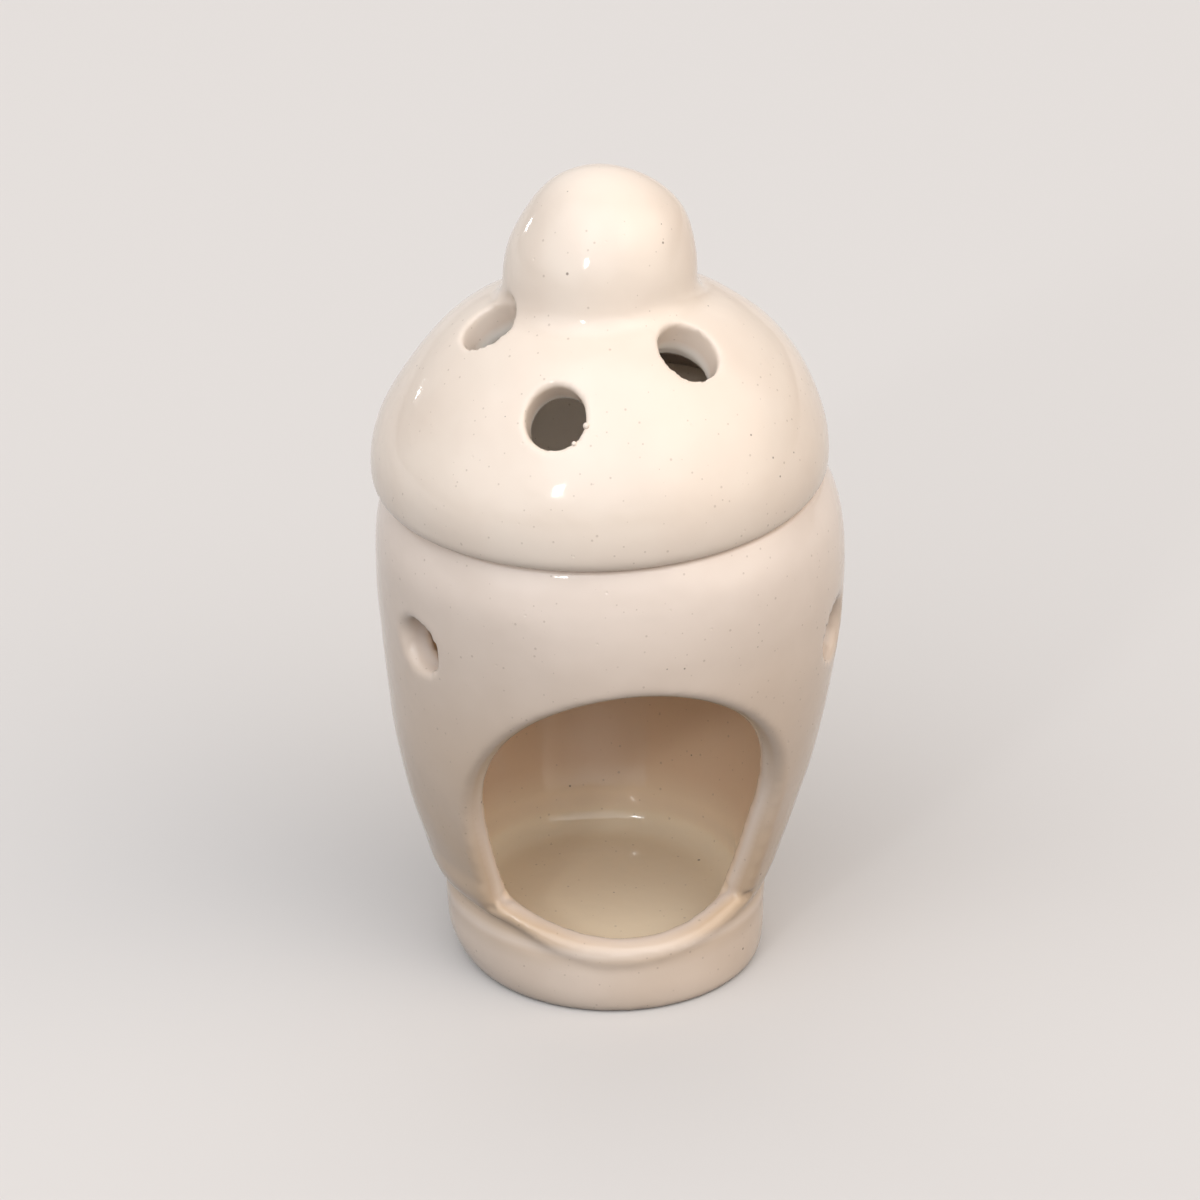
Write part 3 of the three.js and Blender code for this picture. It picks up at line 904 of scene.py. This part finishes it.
def glaze_colour(tree, place, body, pooled, toasted, inside, floor):
    """The glaze's colour: its body, with the other tones and the specks laid over it one after another."""
    along = add(tree, "ShaderNodeSeparateXYZ", {"Vector": place}).outputs
    height = add(tree, "ShaderNodeMath", {0: along["Z"], 1: 1 / MM}, operation="MULTIPLY").outputs[0]
    kept = add(tree, "ShaderNodeAttribute", attribute_type="GEOMETRY", attribute_name="inside")
    depth = kept.outputs["Fac"]
    pooling = {"Vector": place, "Scale": 1 / (POOL_SIZE * MM), "Detail": POOL_DETAIL}
    pools = add(tree, "ShaderNodeTexNoise", pooling).outputs["Fac"]
    patching = {"Vector": place, "Scale": 1 / (PATCH_SIZE * MM), "Detail": PATCH_DETAIL}
    patches = add(tree, "ShaderNodeTexNoise", patching).outputs["Fac"]
    lower_toning = [
        (height, LOWER_TONE_HEIGHTS),
        (height, LOWER_TONE_FOOT),
        (patches, LOWER_TONE_PATCHES),
        (depth, LOWER_TONE_DEPTHS),
    ]
    coats = [
        (pooled, [(pools, POOLED_PATCHES)]),
        (toasted, lower_toning),
        # The hollows' painted tones: painted shade inside the pot's chamber, painted light inside the lid and
        # on the chamber's floor
        (inside, [(depth, INSIDE_DEPTHS)]),
        (floor, [(depth, INSIDE_DEPTHS), (height, LIT_FLOOR_HEIGHTS)]),
    ]
    coats += [iron_specks(tree, place, *kind) for kind in SPECKS]
    colour = linear(body)
    for tone, fades in coats:
        coat = {0: faded(tree, fades), 6: colour, 7: linear(tone)}
        colour = add(tree, "ShaderNodeMix", coat, data_type="RGBA").outputs[2]
    return colour


def glaze_relief(tree, place):
    """The glaze's surface: slow ripples where it ran, and pinholes where it boiled."""
    rippling = {"Vector": place, "Scale": 1 / (RIPPLE_SIZE * MM), "Detail": RIPPLE_DETAIL}
    ripples = add(tree, "ShaderNodeTexNoise", rippling)
    pinholes = add(tree, "ShaderNodeTexVoronoi", {"Vector": place, "Scale": 1 / (PINHOLE_SPACING * MM)})
    holes = faded(tree, [(pinholes.outputs["Distance"], PINHOLE_EDGE)])
    rippled = {"Height": ripples.outputs["Fac"], "Strength": RIPPLE_STRENGTH, "Distance": RIPPLE_DEPTH * MM}
    normal = add(tree, "ShaderNodeBump", rippled).outputs[0]
    pitted = {"Height": holes, "Strength": PINHOLE_STRENGTH, "Distance": PINHOLE_DEPTH * MM, "Normal": normal}
    return add(tree, "ShaderNodeBump", pitted).outputs[0]


def ivory_glaze(name, **tones):
    """Ivory glaze over stoneware, dipped and fired in a kiln: glassy, with a soft milky body."""
    # It gives the eye small sharp highlights on a surface that is never quite even. It is a little deeper
    # where it pools, turns darker and warmer towards the foot, and shows sparse iron specks and pinholes.
    # Inside the pot's chamber it is painted a darker, warmer tan as shade, and the chamber's floor is painted
    # lighter as if lit; inside the lid it is painted lighter as if lit.
    material = bpy.data.materials.new(name)
    material.use_nodes = True
    tree = material.node_tree
    tree.nodes.clear()
    place = add(tree, "ShaderNodeTexCoord").outputs["Object"]
    finish = {
        "Base Color": glaze_colour(tree, place, **tones),
        "Roughness": GLAZE_ROUGHNESS,
        "IOR": GLAZE_IOR,
        "Normal": glaze_relief(tree, place),
    }
    shader = add(tree, "ShaderNodeBsdfPrincipled", finish)
    add(tree, "ShaderNodeOutputMaterial", {"Surface": shader.outputs[0]})
    return material


WHEEL = thrown_tree()
POT_GLAZE = ivory_glaze(
    "ivory glaze on the pot",
    body="#ede0d6",
    pooled="#e6d8cd",
    toasted="#cbb297",
    # A warmer, darker tan painted inside the chamber as its shade
    inside="#e9cdb0",
    # The chamber's floor painted lighter, as painted light
    floor="#f3e3c8",
)
LID_GLAZE = ivory_glaze(
    "ivory glaze on the lid",
    body="#efe2d5",
    pooled="#eadbcd",
    toasted="#ecdccb",
    # The lid's hollow painted lighter than its outside, as painted light seen through the smoke holes
    inside="#faf5ee",
    floor="#faf5ee",
)
DISH_GLAZE = ivory_glaze(
    "ivory glaze on the dish",
    body="#f9efe2",
    pooled="#f6eadb",
    toasted="#f9efe2",
    inside="#f9efe2",
    floor="#f9efe2",
)


def finish_piece(name, mesh, glaze, node, body):
    """Puts a finished mesh in the scene in place of its CAD node."""
    mesh.materials.clear()
    mesh.materials.append(glaze)
    piece = shown(name, mesh)
    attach(piece, body)
    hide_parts(node)


def pot():
    """The pot: thrown, cut and punched, its foot pressed on and its sill drawn with a needle."""
    punch = thrown("vent punch", punch_section(VENT_RADIUS, VENT_LIP, POT_WALL / 2), PUNCH_FACETS)
    places = hole_places("vent places", vent_spots())
    cutter = arch_cutter()
    thing = thrown("pot_rough", pot_section(), TURNED_FACETS, POT_GLAZE, places, punch, cutter)
    mesh = softened(thing, POT_GRAIN, POT_SMOOTHING)
    for helper in (punch, places, cutter):
        bpy.data.objects.remove(helper)
    remember_depth(mesh, pot_outside(), POT_WALL)
    press_foot(mesh)
    cut_slits(mesh)
    by_hand(mesh, POT_LEAN, POT_NOD, POT_DRAW)
    finish_piece("glazed_pot", mesh, POT_GLAZE, "pot", "pot")


def lid():
    """The lid: thrown with its hollow knob and punched, with beads of glaze left on one hole."""
    hole = punch_section(SMOKE_HOLE_RADIUS, SMOKE_HOLE_LIP, SMOKE_HOLE_DEPTH / 2)
    punch = thrown("smoke punch", hole, PUNCH_FACETS)
    places = hole_places("smoke places", smoke_hole_spots())
    thing = thrown("lid_rough", lid_section(), TURNED_FACETS, LID_GLAZE, places, punch)
    mesh = softened(thing, LID_GRAIN, LID_SMOOTHING)
    add_beads(mesh)
    for helper in (punch, places):
        bpy.data.objects.remove(helper)
    mesh.transform(Matrix.Translation((LID_MIDDLE * MM, 0, 0)))
    remember_depth(mesh, lid_outside(), POT_WALL, LID_MIDDLE)
    by_hand(mesh, LID_LEAN, LID_NOD, LID_DRAW)
    finish_piece("glazed_lid", mesh, LID_GLAZE, "lid", "lid")


def dish():
    """The dish that holds the incense: thrown, and dropped into the collar by its flange."""
    thing = thrown("dish_rough", dish_section(), TURNED_FACETS, DISH_GLAZE)
    mesh = softened(thing, DISH_GRAIN, DISH_SMOOTHING)
    by_hand(mesh, STRAIGHT, STRAIGHT, STRAIGHT)
    finish_piece("glazed_dish", mesh, DISH_GLAZE, "incense_dish", "dish")


def photo_camera():
    """The camera, at the photograph's angle."""
    camera = bpy.data.cameras.new("photo view")
    camera.lens = VIEW_LENS
    camera.sensor_width = VIEW_SENSOR
    camera.clip_end = VIEW_END
    thing = shown("photo view", camera)
    thing.matrix_world = (
        Matrix.Rotation(VIEW_TURN, 4, "Z")
        @ Matrix.Translation((VIEW_SIDE, -VIEW_DISTANCE, VIEW_HEIGHT))
        @ Matrix.Rotation(math.pi / 2 - VIEW_PITCH, 4, "X")
    )
    bpy.context.scene.camera = thing


def toward(azimuth, elevation):
    """The way to a place in the studio, by degrees round from the arch and degrees up."""
    around, up = math.radians(azimuth), math.radians(elevation)
    return Vector((math.sin(around) * math.cos(up), -math.cos(around) * math.cos(up), math.sin(up)))


def lamp(name, azimuth, elevation, distance, size, watts):
    """A square white lamp, by where it stands round the burner and how high."""
    light = bpy.data.lights.new(name, "AREA")
    light.shape = "SQUARE"
    light.size = size
    light.energy = watts
    thing = shown(name, light)
    away = toward(azimuth, elevation)
    thing.location = Vector((0, 0, LAMP_AIM_HEIGHT * MM)) + away * distance
    thing.rotation_euler = away.to_track_quat("Z", "Y").to_euler()


def floor_paper():
    """Matt studio paper, rolled out plain."""
    # It gives the eye an even pale ground. It is duller in the light that it throws back up at the burner.
    paper = bpy.data.materials.new("studio paper")
    paper.use_nodes = True
    tree = paper.node_tree
    tree.nodes.clear()
    ray = add(tree, "ShaderNodeLightPath").outputs
    seen = 0.0
    for kind in ("Is Camera Ray", "Is Glossy Ray", "Is Transmission Ray"):
        seen = add(tree, "ShaderNodeMath", {0: seen, 1: ray[kind]}, operation="MAXIMUM").outputs[0]
    tones = {0: seen, 6: linear(PAPER_THROWN), 7: linear(PAPER_SEEN)}
    colour = add(tree, "ShaderNodeMix", tones, data_type="RGBA").outputs[2]
    matt = add(tree, "ShaderNodeBsdfDiffuse", {"Color": colour})
    add(tree, "ShaderNodeOutputMaterial", {"Surface": matt.outputs[0]})
    return paper


def soft_room():
    """Light from all round, with broad soft glows in it."""
    world = bpy.data.worlds.new("soft room")
    bpy.context.scene.world = world
    world.use_nodes = True
    tree = world.node_tree
    tree.nodes.clear()
    way = add(tree, "ShaderNodeTexCoord").outputs["Generated"]
    light = Vector(linear(ROOM_COLOUR)[:3]) * ROOM_GLOW
    for azimuth, elevation, spread, power, colour in SOFT_GLOWS:
        ways = {0: way, 1: toward(azimuth, elevation)}
        near = add(tree, "ShaderNodeVectorMath", ways, operation="DOT_PRODUCT").outputs["Value"]
        glowing = {"Value": near, "From Min": math.cos(math.radians(spread)), "To Max": power}
        glow = add(tree, "ShaderNodeMapRange", glowing, interpolation_type="SMOOTHSTEP").outputs[0]
        tint = {0: linear(colour)[:3], "Scale": glow}
        tinted = add(tree, "ShaderNodeVectorMath", tint, operation="SCALE").outputs[0]
        light = add(tree, "ShaderNodeVectorMath", {0: light, 1: tinted}, operation="ADD").outputs[0]
    background = add(tree, "ShaderNodeBackground", {"Color": light})
    add(tree, "ShaderNodeOutputWorld", {"Surface": background.outputs[0]})


def studio():
    """A plain pale floor and soft light."""
    edge = FLOOR_HALF_SIDE
    corners = [(-edge, -edge, 0), (edge, -edge, 0), (edge, edge, 0), (-edge, edge, 0)]
    floor_mesh = new_mesh("floor", corners, faces=[(0, 1, 2, 3)])
    floor_mesh.materials.append(floor_paper())
    shown("floor", floor_mesh)
    soft_room()
    for placing in LAMPS:
        lamp(*placing)
    bpy.context.scene.view_settings.view_transform = "Standard"


photo_camera()
pot()
dish()
lid()
studio()
